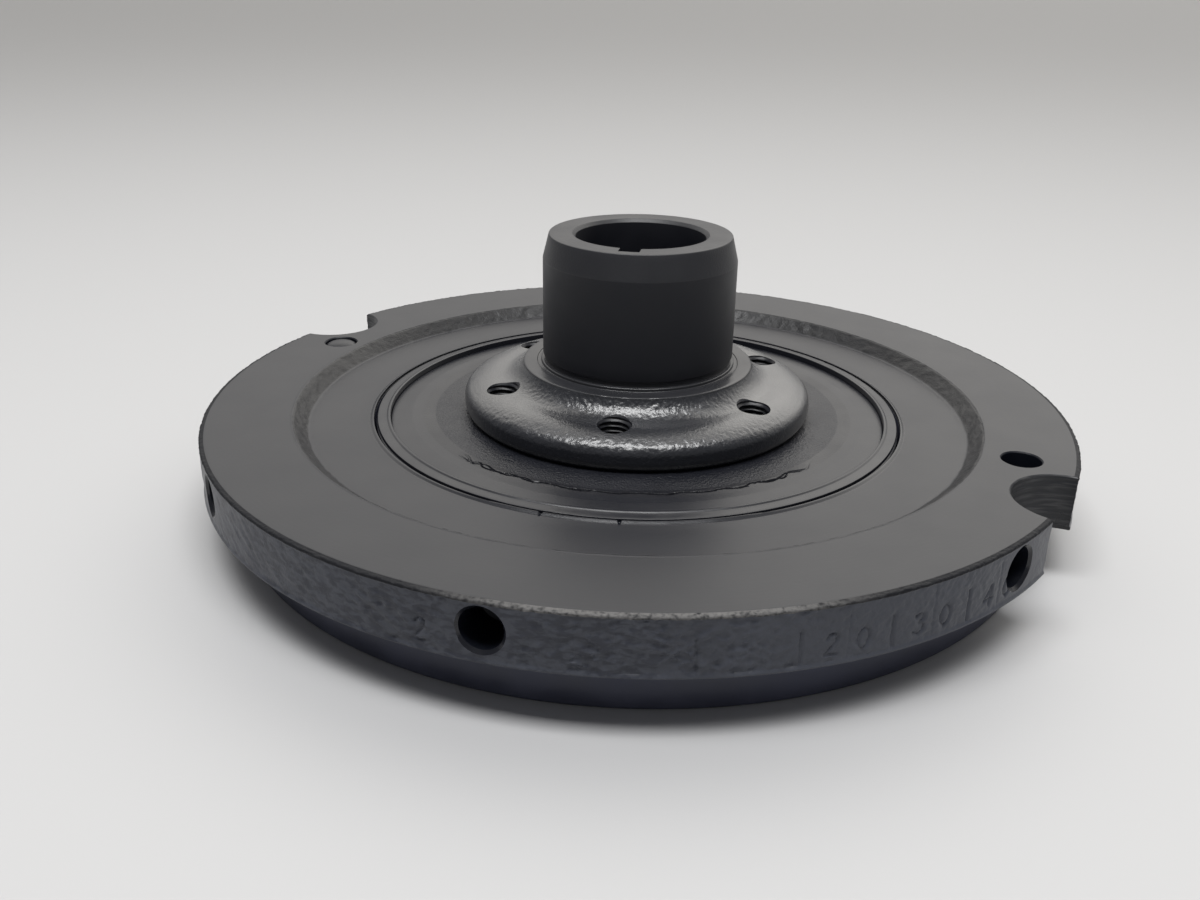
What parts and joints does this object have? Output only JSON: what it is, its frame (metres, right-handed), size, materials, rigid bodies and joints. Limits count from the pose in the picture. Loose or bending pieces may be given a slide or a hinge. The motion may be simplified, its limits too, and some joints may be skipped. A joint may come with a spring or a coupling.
{
  "type": "harmonic balancer",
  "caption": "Round crankshaft torsional damper: keyed hub with seal journal and tapped flange, disc, rubber ring, notched inertia ring with degree scale.",
  "frame": {"origin": "on the crankshaft axis, in the plane of the foot that the part rests on", "axes": "+Z along the crankshaft axis towards the engine; the keyway is at -Y"},
  "size_m": [0.216, 0.216, 0.0677],
  "materials": {
    "hub_paint": "satin black paint on turned steel",
    "disc_paint": "satin black paint on turned cast iron",
    "ring_paint": "satin black paint, smooth on turned faces and pitted on the rim",
    "rubber": "black, overpainted",
    "pin_paint": "satin black paint on steel"
  },
  "bodies": {
    "root": {"inertia_ring": "ring_paint", "rubber_ring": "rubber", "carrier_disc": "disc_paint", "hub": "hub_paint", "timing_pin": "pin_paint"}
  },
  "joints": []
}
